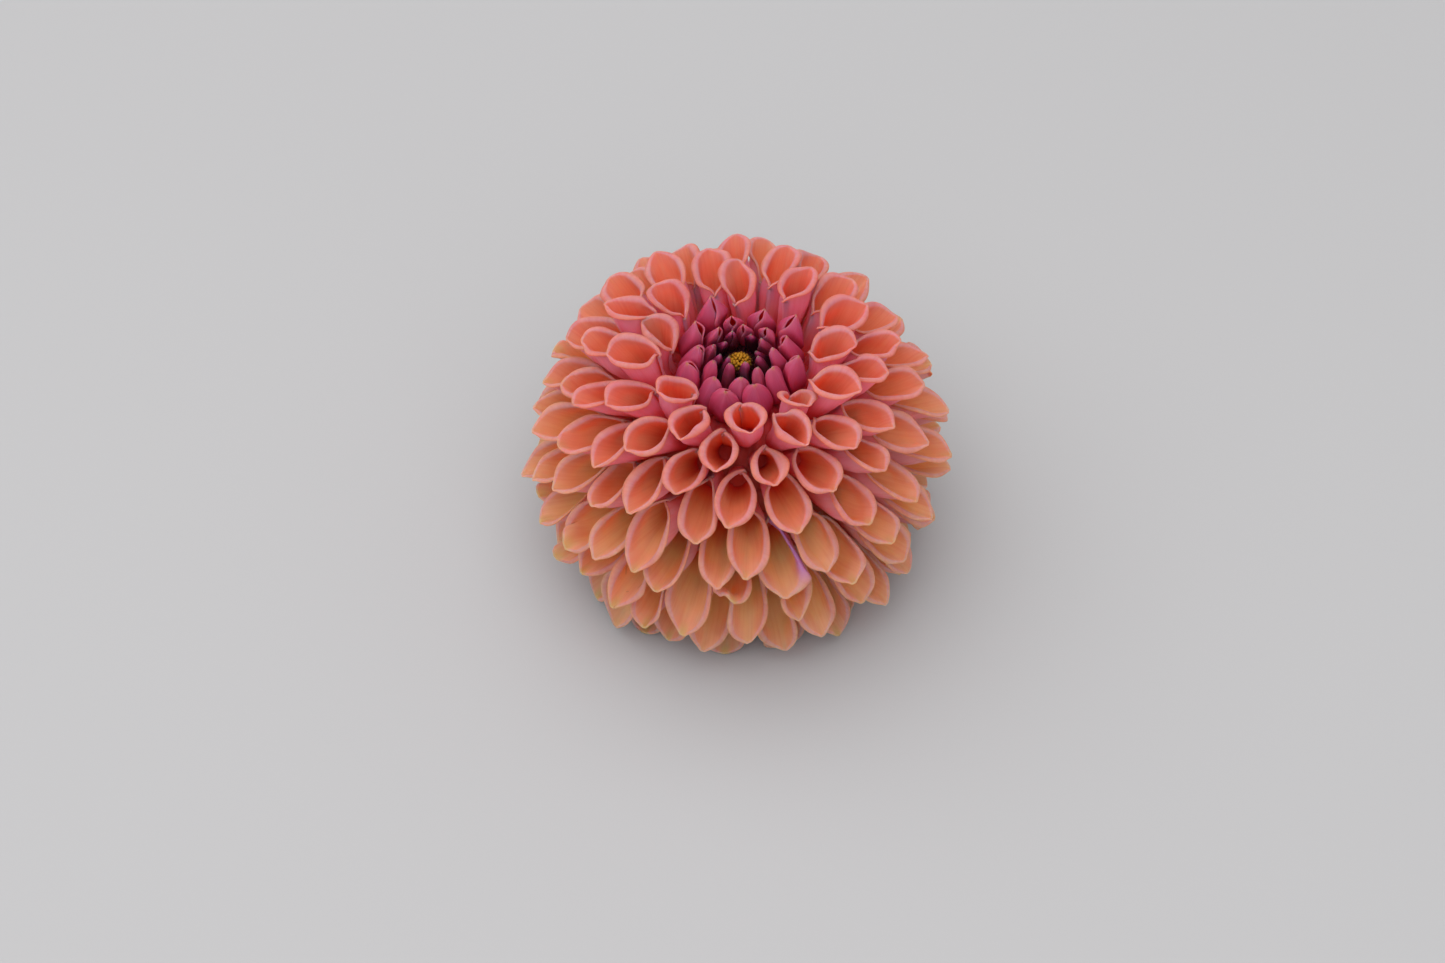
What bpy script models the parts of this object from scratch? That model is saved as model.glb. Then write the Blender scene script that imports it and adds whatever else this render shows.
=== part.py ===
"""A cut ball dahlia bloom lying on its back, face up. Metres, +Z up, resting at z = 0."""

import math
import random

import bmesh
import bpy
from mathutils import Vector

# The head is a ball: the tips of its florets lie on a sphere round this centre.
BLOOM_RADIUS = 0.0450
CENTRE_HEIGHT = 0.0286
CENTRE = Vector((0, 0, CENTRE_HEIGHT))

# Florets follow a spiral from the eye outwards. Polar angles are measured from straight up.
TURN = math.radians(137.45)
FIRST_TURN = math.radians(229.5)
FIRST_POLAR = math.radians(9.5)
LAST_POLAR = math.radians(128)

# Each floret takes up this much of the ball, less of it on the crown and least round the eye.
FLORET_AREA = 128e-6
CROWN_WIDTH = math.radians(55)
CROWN_SHARE = 0.62
EYE_WIDTH = math.radians(13)
EYE_SHARE = 0.95

# No two florets are alike. These are the limits and spreads of a seeded draw.
SEED = 7
AZIMUTH_SPREAD = 0.06
TIP_SHORTER = 0.0012
TIP_LONGER = 0.0008
WIDTH_RANGE = (0.94, 1.04)
TWIST_SPREAD = math.radians(9)
SLANT_SPREAD = math.radians(5)

# Each colour of floret fills one zone, between two polar angles.
EYE_HALF_ANGLE = math.radians(7.5)
ZONES = {
    "inner": (EYE_HALF_ANGLE, math.radians(30)),
    "middle": (math.radians(30), math.radians(62)),
    "outer": (math.radians(62), math.radians(134)),
}
ZONE_GAP = math.radians(1.8)

# The narrow claws of the florets pack into a core round the receptacle.
CORE_RADIUS = 0.0260
CORE_INSIDE = 0.0120
CORE_STEPS = 20
CORE_OUTSIDE_POINTS = 7
CORE_INSIDE_POINTS = 4
CLAW_RADIUS = 0.0018
CLAW_ROOT = 0.0180
GAP = 0.0003

# Ray florets. Widths are shares of the spacing, and lengths of the stretch outside the core.
MOUTH_SHARE = 0.80
BUD_SHARE = 0.90
NEAREST = 4
WALL = 0.0007
BLUNTNESS = 0.8
EYE_DIP = 0.28
EYE_DIP_WIDTH = math.radians(27)

# Tips near the eye lean over it, by this share of their polar angle.
LEAN = 0.34
LEAN_WIDTH = math.radians(36)

# Open florets. Their mouths get longer and slant more from the first of them to the last.
CUP_SIDES = 7
YOUNG_END = math.radians(30)
OLD_START = math.radians(90)
SLANT = (math.radians(40), math.radians(54))
MOUTH_LENGTH = (1.25, 1.65)
NECK_PLACE = 0.50
NECK_SLOPE = 0.50
NECK_SIZE = 0.84
BELLY = 0.14
BOTTOM_PLACE = 0.25

# Closed florets: where each ring lies, its half width and its half depth.
BUD_SIDES = 5
BUD_RINGS = ((0.50, 0.90, 0.70), (0.80, 0.62, 0.50))

# The eye.
DISC_RADIUS = 0.0285
DISC_STEPS = 16
DISC_POINTS = 4
DISC_BUMPS = 26
DISC_BUMP_RADIUS = 0.00055
DISC_BUMP_TIP = 0.4 * DISC_BUMP_RADIUS
DISC_BUMP_HEIGHT = 4 * DISC_BUMP_RADIUS
DISC_BUMP_SIDES = 5

# The receptacle and the cut stem.
DOME_END = math.radians(125)
DOME_POINTS = 9
NECK_RADIUS = 0.0062
NECK_HEIGHT = 0.0042
STEM_RADIUS = 0.0034
STEM_TOP = 0.0165
STEM_END = 0.0025
STEM_LEAN = 0.0012
STEM_SPANS = 4

# The green bracts leave a collar in two rows. Start is a radius and a height.
COLLAR_WALL = 0.0010
COLLAR_GAP = 0.00045
COLLAR_WAIST = 0.3
BRACT_WALL = 0.0007
BRACT_STEPS = 4
BRACT_ARCH = 0.15
BRACT_OUTLINE = (0.12, 0.92)
BRACT_BLUNTNESS = 0.8
BRACT_ROWS = (
    {"name": "inner", "count": 8, "offset": 0.0, "length": 0.0150, "width": 0.0078,
     "slope": math.radians(38), "curl": math.radians(3), "start": (0.0064, 0.0193)},
    {"name": "outer", "count": 6, "offset": 0.4, "length": 0.0125, "width": 0.0044,
     "slope": math.radians(66), "curl": math.radians(-24), "start": (0.0058, 0.0182)},
)

# The block below the bloom that presses its lowest tips flat.
GROUND_WIDTH = 0.20
GROUND_DEPTH = 0.02

SHARP_ANGLE = math.radians(40)

# Each node's material: its name, colour and roughness.
LOOKS = {
    "ray_florets_inner": ("magenta_petal", (0.46, 0.06, 0.14), 0.5),
    "ray_florets_middle": ("coral_petal", (0.62, 0.12, 0.08), 0.5),
    "ray_florets_outer": ("peach_petal", (0.60, 0.27, 0.16), 0.5),
    "disc_florets": ("yellow_disc", (0.45, 0.22, 0.02), 0.7),
    "receptacle": ("green_flesh", (0.30, 0.36, 0.12), 0.6),
    "bracts": ("green_bract", (0.17, 0.25, 0.07), 0.6),
    "stem_stub": ("green_stem", (0.20, 0.27, 0.08), 0.6),
}


def smooth(x):
    """A soft step from 0 to 1."""
    x = min(max(x, 0.0), 1.0)
    return x * x * (3 - 2 * x)


def mix(pair, share):
    return pair[0] + (pair[1] - pair[0]) * share


def floret_area(polar):
    """How much of the ball's surface one floret takes up."""
    crown = 1 - CROWN_SHARE * math.exp(-((polar / CROWN_WIDTH) ** 2))
    eye = 1 - EYE_SHARE * math.exp(-((polar / EYE_WIDTH) ** 4))
    return FLORET_AREA * crown * eye


def tip_radius(polar):
    """Florets get shorter towards the eye, which lies in a dip."""
    return BLOOM_RADIUS * (1 - EYE_DIP * math.exp(-((polar / EYE_DIP_WIDTH) ** 4)))


def direction(polar, azimuth):
    level = math.sin(polar)
    return Vector((level * math.cos(azimuth), level * math.sin(azimuth), math.cos(polar)))


def zone_of(polar):
    return next(zone for zone, (_, end) in ZONES.items() if polar < end)


def florets():
    """Every ray floret, from the eye down to the surface that the bloom rests on."""
    draw = random.Random(SEED)
    claw_margin = (CLAW_RADIUS + 3 * GAP) / CORE_RADIUS
    found = []
    polar = FIRST_POLAR
    while polar < LAST_POLAR:
        zone = zone_of(polar)
        start, end = ZONES[zone]
        tip_polar = polar * (1 - LEAN * math.exp(-((polar / LEAN_WIDTH) ** 4)))
        nudge = draw.gauss(0, AZIMUTH_SPREAD) * math.sqrt(floret_area(polar)) / BLOOM_RADIUS
        floret = {
            "zone": zone,
            "polar": polar,
            "claw_polar": min(max(polar, start + claw_margin), end - claw_margin),
            "tip_polar": tip_polar,
            "azimuth": FIRST_TURN + len(found) * TURN + nudge / math.sin(polar),
            "tip": tip_radius(tip_polar) + draw.uniform(-TIP_SHORTER, TIP_LONGER),
            "width": draw.uniform(*WIDTH_RANGE),
            "twist": draw.gauss(0, TWIST_SPREAD),
            "slant": draw.gauss(0, SLANT_SPREAD),
        }
        found.append(floret)
        step = floret_area(polar) / (2 * math.pi * BLOOM_RADIUS**2 * math.sin(polar))
        if zone_of(polar + step) != zone:
            step += ZONE_GAP
        polar += step
    for floret in found:
        floret["spacing"] = spacing(floret, found)
    return found


def spacing(floret, found):
    """How far the nearest neighbours' tips are, on the ball."""
    place = direction(floret["polar"], floret["azimuth"])
    gaps = sorted((direction(f["polar"], f["azimuth"]) - place).length for f in found)
    return BLOOM_RADIUS * sum(gaps[1:NEAREST + 1]) / NEAREST


def material(name, colour, roughness):
    made = bpy.data.materials.new(name)
    made.use_nodes = True
    shader = made.node_tree.nodes["Principled BSDF"]
    shader.inputs["Base Color"].default_value = (*colour, 1)
    shader.inputs["Roughness"].default_value = roughness
    return made


def helper_collection(name):
    made = bpy.data.collections.new(name)
    bpy.context.scene.collection.children.link(made)
    return made


def new_object(name, bm, collection):
    """An object of the given mesh, with its faces split into triangles and pointing out."""
    bmesh.ops.recalc_face_normals(bm, faces=bm.faces)
    bmesh.ops.triangulate(bm, faces=bm.faces)
    mesh = bpy.data.meshes.new(name)
    bm.to_mesh(mesh)
    bm.free()
    made = bpy.data.objects.new(name, mesh)
    collection.objects.link(made)
    return made


def baked(made):
    """Replaces an object's modifiers with the mesh that they make, shaded smooth."""
    graph = bpy.context.evaluated_depsgraph_get()
    mesh = bpy.data.meshes.new_from_object(made.evaluated_get(graph))
    mesh.shade_smooth()
    mesh.set_sharp_from_angle(angle=SHARP_ANGLE)
    made.modifiers.clear()
    old = made.data
    made.data = mesh
    bpy.data.meshes.remove(old)


def union(base, helpers):
    """Joins a collection of closed shapes to the base, then removes them."""
    joint = base.modifiers.new("Join", "BOOLEAN")
    joint.operation = "UNION"
    joint.operand_type = "COLLECTION"
    joint.collection = helpers
    baked(base)
    for helper in list(helpers.objects):
        mesh = helper.data
        bpy.data.objects.remove(helper)
        bpy.data.meshes.remove(mesh)
    bpy.data.collections.remove(helpers)


def loft(rings, start, end):
    """A closed skin over rings of equal length, drawn to a point at either end."""
    bm = bmesh.new()
    loops = [[bm.verts.new(point) for point in ring] for ring in rings]
    for lower, upper in zip(loops, loops[1:]):
        for i, corner in enumerate(lower):
            bm.faces.new((lower[i - 1], corner, upper[i], upper[i - 1]))
    for loop, point in ((loops[0], start), (loops[-1], end)):
        apex = bm.verts.new(point)
        for i, corner in enumerate(loop):
            bm.faces.new((loop[i - 1], corner, apex))
    return bm


def turned(name, profile, steps, collection):
    """A solid turned round the upright axis, from (radius, height) points."""
    mesh = bpy.data.meshes.new(name)
    points = [(radius, 0, height) for radius, height in profile]
    mesh.from_pydata(points, [(i, i + 1) for i in range(len(points) - 1)], [])
    made = bpy.data.objects.new(name, mesh)
    collection.objects.link(made)
    screw = made.modifiers.new("Turn", "SCREW")
    screw.steps = steps
    screw.render_steps = steps
    screw.use_merge_vertices = True
    screw.merge_threshold = 0.00001
    baked(made)
    return made


def arc(radius, start, end, count):
    """Points at this distance from the ball's centre, between two polar angles."""
    angles = [start + (end - start) * i / (count - 1) for i in range(count)]
    return [(radius * math.sin(a), CENTRE_HEIGHT + radius * math.cos(a)) for a in angles]


class Growth:
    """Where a floret's points lie: along its bent axis, towards the eye and to the side."""

    def __init__(self, floret):
        self.floret = floret
        out = direction(floret["polar"], floret["azimuth"])
        rise = direction(floret["polar"] - math.pi / 2, floret["azimuth"])
        side = out.cross(rise)
        turn = floret["twist"]
        self.rise = rise * math.cos(turn) + side * math.sin(turn)
        self.side = side * math.cos(turn) - rise * math.sin(turn)

    def axis(self, reach):
        """The point of the axis this far from the ball's centre."""
        bend = smooth((reach - CORE_RADIUS) / (self.floret["tip"] - CORE_RADIUS))
        claw = self.floret["claw_polar"]
        polar = claw + (self.floret["tip_polar"] - claw) * bend
        return CENTRE + direction(polar, self.floret["azimuth"]) * reach

    def ring(self, reach, slope, half_width, half_depth, sides, sag=0.0, full=None):
        """An oval ring. Its first point is the outer side, which slope draws outwards.

        The ring has its stated size at the full reach, and narrows with the room inwards.
        """
        points = []
        for k in range(sides):
            around = math.tau * k / sides
            down = math.copysign(abs(math.cos(around)) ** BLUNTNESS, math.cos(around))
            room = (reach + slope * down) / full if full else 1
            point = self.axis(reach + slope * down)
            point += self.side * half_width * room * math.sin(around)
            point -= self.rise * (half_depth * down * room + sag)
            points.append(point)
        return points


def cup(floret):
    """An open ray floret: a rolled blade with a slanted mouth that faces the eye."""
    growth = Growth(floret)
    half_width = MOUTH_SHARE * floret["spacing"] * floret["width"] / 2
    age = smooth((floret["polar"] - YOUNG_END) / (OLD_START - YOUNG_END))
    half_mouth = half_width * mix(MOUTH_LENGTH, age)
    slant = mix(SLANT, age) + floret["slant"]
    slope = half_mouth * math.sin(slant)
    depth = half_mouth * math.cos(slant)
    mouth = floret["tip"] - slope
    neck = mix((CORE_RADIUS, mouth), NECK_PLACE)
    bottom = mix((CORE_RADIUS, mouth), BOTTOM_PLACE)
    inset = 1 - WALL / half_width
    rings = [
        growth.ring(neck, NECK_SLOPE * slope, NECK_SIZE * half_width, NECK_SIZE * depth,
                    CUP_SIDES, sag=BELLY * depth, full=mouth),
        growth.ring(mouth, slope, half_width, depth, CUP_SIDES, full=mouth),
        growth.ring(mouth, slope * inset, half_width * inset, depth * inset, CUP_SIDES,
                    full=mouth),
    ]
    return loft(rings, growth.axis(CLAW_ROOT), growth.axis(bottom))


def bud(floret):
    """A ray floret near the eye that is still closed, leaning over the eye."""
    growth = Growth(floret)
    half_width = BUD_SHARE * floret["spacing"] * floret["width"] / 2
    rings = [
        growth.ring(mix((CORE_RADIUS, floret["tip"]), place), 0, width * half_width,
                    depth * half_width, BUD_SIDES)
        for place, width, depth in BUD_RINGS
    ]
    return loft(rings, growth.axis(CLAW_ROOT), growth.axis(floret["tip"]))


def core_ring(name, zone, collection):
    """The packed claws of one zone: a ring between two cones, just clear of the next zones."""
    def side(radius, count):
        start, end = ZONES[zone]
        edge = GAP / 2 / radius
        return arc(radius, start + edge, end - edge, count)
    outside = side(CORE_RADIUS, CORE_OUTSIDE_POINTS)
    inside = side(CORE_INSIDE, CORE_INSIDE_POINTS)
    return turned(name, outside + inside[::-1] + outside[:1], CORE_STEPS, collection)


def ray_florets(zone, collection):
    """All florets of one colour, grown from their core."""
    name = "ray_florets_" + zone
    base = core_ring(name, zone, collection)
    shape = bud if zone == "inner" else cup
    helpers = helper_collection(name + "_parts")
    for index, floret in enumerate(florets()):
        if floret["zone"] != zone:
            continue
        new_object(f"{name}_{index}", shape(floret), helpers)
    union(base, helpers)
    return base


def rest_flat(bloom, cutters):
    """Cuts the lowest floret tips level, where the surface presses them flat."""
    bm = bmesh.new()
    bmesh.ops.create_cube(bm, size=1)
    bmesh.ops.scale(bm, vec=(GROUND_WIDTH, GROUND_WIDTH, GROUND_DEPTH), verts=bm.verts)
    bmesh.ops.translate(bm, vec=(0, 0, -GROUND_DEPTH / 2), verts=bm.verts)
    ground = new_object("ground_cutter", bm, cutters)
    ground.hide_render = True
    ground.display_type = "WIRE"
    cut = bloom.modifiers.new("Rest", "BOOLEAN")
    cut.object = ground
    cut.operation = "DIFFERENCE"


def disc_florets(collection):
    """The eye: a column of unopened florets that ends in a grainy dome."""
    half_angle = EYE_HALF_ANGLE - 2 * GAP / CORE_RADIUS
    top = arc(DISC_RADIUS, 0, half_angle, DISC_POINTS)
    foot = arc(CORE_INSIDE + GAP, 0, half_angle, 2)
    base = turned("disc_florets", top + foot[::-1], DISC_STEPS, collection)
    helpers = helper_collection("disc_parts")
    reach = half_angle - DISC_BUMP_RADIUS / DISC_RADIUS
    for index in range(DISC_BUMPS):
        polar = reach * math.sqrt((index + 0.5) / DISC_BUMPS)
        place = CENTRE + direction(polar, index * TURN) * DISC_RADIUS
        bm = bmesh.new()
        bmesh.ops.create_cone(bm, cap_ends=True, segments=DISC_BUMP_SIDES,
                              radius1=DISC_BUMP_RADIUS, radius2=DISC_BUMP_TIP,
                              depth=DISC_BUMP_HEIGHT)
        bmesh.ops.translate(bm, vec=place, verts=bm.verts)
        new_object(f"disc_floret_{index}", bm, helpers)
    union(base, helpers)


def receptacle(collection):
    """The fleshy dome that every floret grows from, narrowing to the stem."""
    dome = arc(CORE_INSIDE - 2 * GAP, 0, DOME_END, DOME_POINTS)
    base = STEM_TOP + GAP
    neck = [(NECK_RADIUS, base + NECK_HEIGHT), (STEM_RADIUS, base), (0, base)]
    turned("receptacle", dome + neck, CORE_STEPS, collection)


def bract(name, row, azimuth, collection):
    """One green scale: a thin arched blade that leaves the collar downwards and outwards."""
    bm = bmesh.new()
    bmesh.ops.create_grid(bm, x_segments=BRACT_STEPS, y_segments=2, size=0.5)
    out = direction(math.pi / 2, azimuth)
    side = direction(math.pi / 2, azimuth + math.pi / 2)
    start_radius, start_height = row["start"]
    for vert in bm.verts:
        along = vert.co.x + 0.5
        across = 2 * vert.co.y
        outline = math.sin(math.pi * mix(BRACT_OUTLINE, along)) ** BRACT_BLUNTNESS
        slope = row["slope"] + row["curl"] * along
        reach = start_radius + row["length"] * along * math.cos(slope)
        drop = row["length"] * along * math.sin(slope)
        arch = BRACT_ARCH * row["width"] * (1 - across**2)
        vert.co = out * reach + side * across * outline * row["width"] / 2
        vert.co.z = start_height - drop + arch
    made = new_object(name, bm, collection)
    skin = made.modifiers.new("Thickness", "SOLIDIFY")
    skin.thickness = BRACT_WALL
    skin.offset = 0
    baked(made)


def bracts(collection):
    """Two rows of bracts round the neck, the inner one pressed to the head's underside."""
    base = STEM_TOP + GAP
    top = base + NECK_HEIGHT
    inside = [(STEM_RADIUS + COLLAR_GAP, base), (NECK_RADIUS + COLLAR_GAP, top)]
    outside = [
        (NECK_RADIUS + COLLAR_WALL, top - COLLAR_WALL),
        (NECK_RADIUS + COLLAR_WALL / 2, mix((base, top), COLLAR_WAIST)),
        (STEM_RADIUS + 2 * COLLAR_WALL, base - GAP),
    ]
    collar = turned("bracts", inside[-1:] + outside + inside, CORE_STEPS, collection)
    helpers = helper_collection("bract_parts")
    for row in BRACT_ROWS:
        for index in range(row["count"]):
            azimuth = math.tau * (index + row["offset"]) / row["count"]
            bract(f"bract_{row['name']}_{index}", row, azimuth, helpers)
    union(collar, helpers)


def stem_stub(collection):
    """The short rest of the cut stem. It ends clear of the surface."""
    curve = bpy.data.curves.new("stem_stub", "CURVE")
    curve.dimensions = "3D"
    curve.bevel_depth = STEM_RADIUS
    curve.bevel_resolution = 3
    curve.use_fill_caps = True
    line = curve.splines.new("POLY")
    line.points.add(STEM_SPANS)
    for index, point in enumerate(line.points):
        along = index / STEM_SPANS
        point.co = (STEM_LEAN * along**2, 0, mix((STEM_TOP, STEM_END), along), 1)
    collection.objects.link(bpy.data.objects.new("stem_stub", curve))


def main():
    for old in list(bpy.data.objects):
        bpy.data.objects.remove(old)
    bloom = helper_collection("dahlia")
    cutters = helper_collection("cutters")
    for zone in ZONES:
        ray_florets(zone, bloom)
    rest_flat(bloom.objects["ray_florets_outer"], cutters)
    disc_florets(bloom)
    receptacle(bloom)
    bracts(bloom)
    stem_stub(bloom)
    for node in bloom.objects:
        node.data.materials.append(material(*LOOKS[node.name]))


main()
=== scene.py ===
"""The looks of a cut ball dahlia bloom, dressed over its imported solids. Metres, +Z up."""

import math
import random

import bpy
import numpy as np
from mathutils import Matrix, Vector


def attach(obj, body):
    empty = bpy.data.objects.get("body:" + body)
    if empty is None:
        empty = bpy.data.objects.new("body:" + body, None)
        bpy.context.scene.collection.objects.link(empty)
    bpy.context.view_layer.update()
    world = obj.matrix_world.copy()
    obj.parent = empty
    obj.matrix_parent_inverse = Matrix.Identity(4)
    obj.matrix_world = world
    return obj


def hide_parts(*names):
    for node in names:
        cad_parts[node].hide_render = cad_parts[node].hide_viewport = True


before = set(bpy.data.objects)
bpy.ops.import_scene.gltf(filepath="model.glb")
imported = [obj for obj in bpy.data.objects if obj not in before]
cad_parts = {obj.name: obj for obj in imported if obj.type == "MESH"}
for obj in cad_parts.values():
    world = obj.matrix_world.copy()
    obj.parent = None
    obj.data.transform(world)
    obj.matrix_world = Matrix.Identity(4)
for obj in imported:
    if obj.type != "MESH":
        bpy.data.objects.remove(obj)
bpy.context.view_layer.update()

# The head, its spiral of florets and their seeded differences, as in the solids.
BLOOM_RADIUS = 0.0450
CENTRE_HEIGHT = 0.0286
CENTRE = np.array((0, 0, CENTRE_HEIGHT))
TURN = math.radians(137.45)
FIRST_TURN = math.radians(229.5)
FIRST_POLAR = math.radians(9.5)
LAST_POLAR = math.radians(128)
FLORET_AREA = 128e-6
CROWN_WIDTH = math.radians(55)
CROWN_SHARE = 0.62
EYE_WIDTH = math.radians(13)
EYE_SHARE = 0.95
SEED = 7
AZIMUTH_SPREAD = 0.06
TIP_SHORTER = 0.0012
TIP_LONGER = 0.0008
WIDTH_RANGE = (0.94, 1.04)
TWIST_SPREAD = math.radians(9)
SLANT_SPREAD = math.radians(5)
EYE_HALF_ANGLE = math.radians(7.5)
ZONES = {
    "inner": (EYE_HALF_ANGLE, math.radians(30)),
    "middle": (math.radians(30), math.radians(62)),
    "outer": (math.radians(62), math.radians(134)),
}
ZONE_GAP = math.radians(1.8)
CORE_RADIUS = 0.0260
CORE_INSIDE = 0.0120
CLAW_RADIUS = 0.0018
GAP = 0.0003
MOUTH_SHARE = 0.80
BUD_SHARE = 0.90
NEAREST = 4
BLUNTNESS = 0.8
EYE_DIP = 0.28
EYE_DIP_WIDTH = math.radians(27)
LEAN = 0.34
LEAN_WIDTH = math.radians(36)
YOUNG_END = math.radians(30)
OLD_START = math.radians(90)
SLANT = (math.radians(40), math.radians(54))
MOUTH_LENGTH = (1.25, 1.65)
BELLY = 0.14

# The thin blades that stand in for the solid florets. Pairs are for the youngest and the oldest.
ROOT = 0.0235
BLADE = 0.00030
FULLER = 1.07
OVERLAP = 0.20
BUD_MOUTH_SLOPE = 1e-5

# An open floret: a tube that widens to a slanted mouth, with a cusp outside and a notch inside.
CUP_ROWS = 16
CUP_COLUMNS = 38
MOUTH_CROWDING = 0.85
TUBE_SIZE = 0.74
SWELL = 0.05
HEM_START = 0.66
CLOSING = (0.24, 0.22)
CLOSING_ALL_ROUND = 0.4
CUSP = (0.20, 0.28)
NOTCH = (0.42, 0.20)
CUSP_WIDTH = 0.38
CUSP_GROWTH = 2.4
MOUTH_GROWTH = 1.2
SPIRAL = 0.14
SPIRAL_START = 2.2
RIM_CALM = 0.8
TUCK = 0.0012
TUCK_START = 0.93 * math.pi
RIM_WAVE = 0.0003
CREASE = 0.0005
CREASE_WIDTH = 0.12
CREASE_GROWN = 0.5

# How open florets differ: ranges, spreads, and the shares of them that are folded or wilted.
CLOSING_RANGE = (-0.05, 0.10)
TILT_MEAN = -0.05
TILT_SPREAD = 0.08
CUSP_RANGE = (0.6, 1.2)
SKEW_SPREAD = 0.0007
SWAY_SPREAD = 0.0005
CURL_SPREAD = (0.10, 0.22)
CURL_WIDTH = 0.9
DROOP_SPREAD = (0.0003, 0.0009)
FOLDED = 0.16
FOLD_DEPTH = 0.35
WILTED = 0.12
WILT_DEPTH = 0.9
WILT_WIDTH = 0.8
WILT_CRUMPLE = 0.25
WILTED_TONE = 0.9

# The rolled margin of an open floret: fuller at its sides and folds, thin at its cusp and seam.
LIP_ROWS = 6
LIP_RADIUS = (0.00062, 0.00064)
LIP_TURN = (2.6, 2.1)
LIP_LEAST = 0.5
LIP_AT_SIDES = 0.6
LIP_AT_FOLDS = 2.5
LIP_LESS_AT_CUSP = 0.7
TURN_LESS_AT_CUSP = 0.5
LIP_SEAM_WIDTH = 0.3
LIP_WAVE = 0.15

# The florets round the eye are still rolled up: hoods whose margins part a little at the tip.
BUD_ROWS = 22
BUD_COLUMNS = 34
HOOD_OPENING = 0.65
HOOD_FROM = 0.4
HOOD_SPAN = 0.5
HOOD_RANGE = (0.5, 1.2)
BUD_SWAY_SPREAD = 0.0004
BUD_FOOT = 0.62
BUD_FULL_AT = 0.4
BUD_TAPER_FROM = 0.30
BUD_TAPER_POWERS = (1.7, 1.1)
BUD_TIP = 0.03
BUD_SPIRAL = 0.12
BUD_SPIRAL_START = 1.8
BUD_KEEL = 0.12
BUD_KEEL_WIDTH = 0.30
BUD_RIDGES = 6
BUD_RIDGE = 0.25
BUD_FLATTER = (0.62, 0.84)
BUDS_FULL_FROM = math.radians(20)
BUDS_FULLER = 0.10
BUD_MARGIN_WIDTH = 0.25
BUD_MARGIN_FROM = 0.3
BUD_MARGIN_SPAN = 0.3

# The inmost buds are shorter, thinner and more tightly closed.
INMOST = math.radians(10)
INMOST_SPAN = math.radians(5)
INMOST_SHORTER = 0.0003
INMOST_THINNER = 0.14
INMOST_CLOSED = 0.8

# One lower floret has a wide lilac margin on one side.
LILAC_FLORET = 113
LILAC_WIDER = 2.4
LILAC_WIDER_SPAN = 1.5
LILAC_ACROSS = (0.2, 0.45)
LILAC_ALONG = (0.75, 0.95)

# Neighbours press each other flat along a plane between them. Young open mouths stay nearly free.
NEIGHBOURS = 8
TOUCH = 0.0002
SOFTNESS = 0.0007
PRESS_ABOVE_CORE = 0.003
PRESS_BELOW_TIP = 0.0015
FREE_MOUTH = 0.85
FREE_BELOW_MOUTH = 0.001
FREE_SPAN = 0.003

# The surface presses the lowest tips flat.
FLOOR_CLEARANCE = 0.0004
PRESSED_BELOW = 0.003

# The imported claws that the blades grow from: bands of the core, ribbed all round.
CLAW_ROWS = 12
CLAW_COLUMNS = 145
CLAW_MARGIN = math.radians(1)
CLAW_RIBS = 36
CLAW_RIB = 0.012
CLAW_RIB_SLANT = 9
CLAW_EDGE_DIP = 0.02
CLAW_EDGE_POWER = 6
UNDERSIDE_ROWS = 10

# The eye: a mound of grains that falls away all round.
DISC_RADIUS = 0.0285
MOUND_ROWS = 9
MOUND_COLUMNS = 32
MOUND_LOWER = 0.0002
MOUND_DROP = 0.0024
GRAINS = 95
GRAINS_WITHIN = 0.96
GRAIN_RISE = 0.0002
GRAIN_RADIUS = 0.00036
GRAIN_RADIUS_RANGE = (0.85, 1.15)
GRAIN_LENGTH = 0.0011
GRAIN_TURN = 0.98 * math.pi
GRAIN_BLUNTNESS = 0.8
GRAIN_REACH_SPREAD = 0.00012
GRAIN_ROWS = 9
GRAIN_COLUMNS = 21
GRAIN_LOBES = 5
GRAIN_LOBE = 0.13

# The green parts below, as in the solids.
DOME_END = math.radians(125)
DOME_ROWS = 24
NECK_RADIUS = 0.0062
NECK_HEIGHT = 0.0042
STEM_RADIUS = 0.0034
STEM_TOP = 0.0165
STEM_END = 0.0025
STEM_LEAN = 0.0012
NECK_BASE = STEM_TOP + GAP
NECK_TOP = NECK_BASE + NECK_HEIGHT
COLLAR_WALL = 0.0010
COLLAR_GAP = 0.00045
COLLAR_TAPER = 0.3
COLLAR_ALONG = (0, 0.4)
BRACT_WALL = 0.0006
BRACT_ROWS = (
    {"count": 8, "offset": 0.0, "length": 0.0150, "width": 0.0078,
     "slope": math.radians(38), "curl": math.radians(3), "start": (0.0064, 0.0193)},
    {"count": 6, "offset": 0.4, "length": 0.0125, "width": 0.0044,
     "slope": math.radians(66), "curl": math.radians(-24), "start": (0.0058, 0.0182)},
)

# The finer form of the bracts and of the stem, with its cut end.
BRACT_GRID = (18, 13)
BRACT_OUTLINE = (0.12, 0.98)
BRACT_BLUNTNESS = 0.8
BRACT_ARCH = 0.15
BRACT_MIDRIB = 0.0002
BRACT_MIDRIB_WIDTH = 0.12
BRACT_WAVE = 0.0002
BRACT_WAVES = 7
BRACT_CURL_SPREAD = 0.02
BRACT_WIDTH_RANGE = (0.96, 1.02)
STEM_ROWS = 20
STEM_FLUTES = 9
STEM_FLUTE = 0.025
CUT_SIZES = (0.9, 0.55, 0.35, 0)
CUT_PLACES = (1, 0.99, 1, 0.995)

# The marks that the points of each kind of piece carry for its material.
PETAL_MARKS = ("along", "lip", "across", "age", "tone", "polar", "lilac")
GRAIN_MARKS = ("height", "tone", "edge")
GREEN_MARKS = ("along", "across", "tone")
PLAIN_TONE = 0.5

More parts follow.
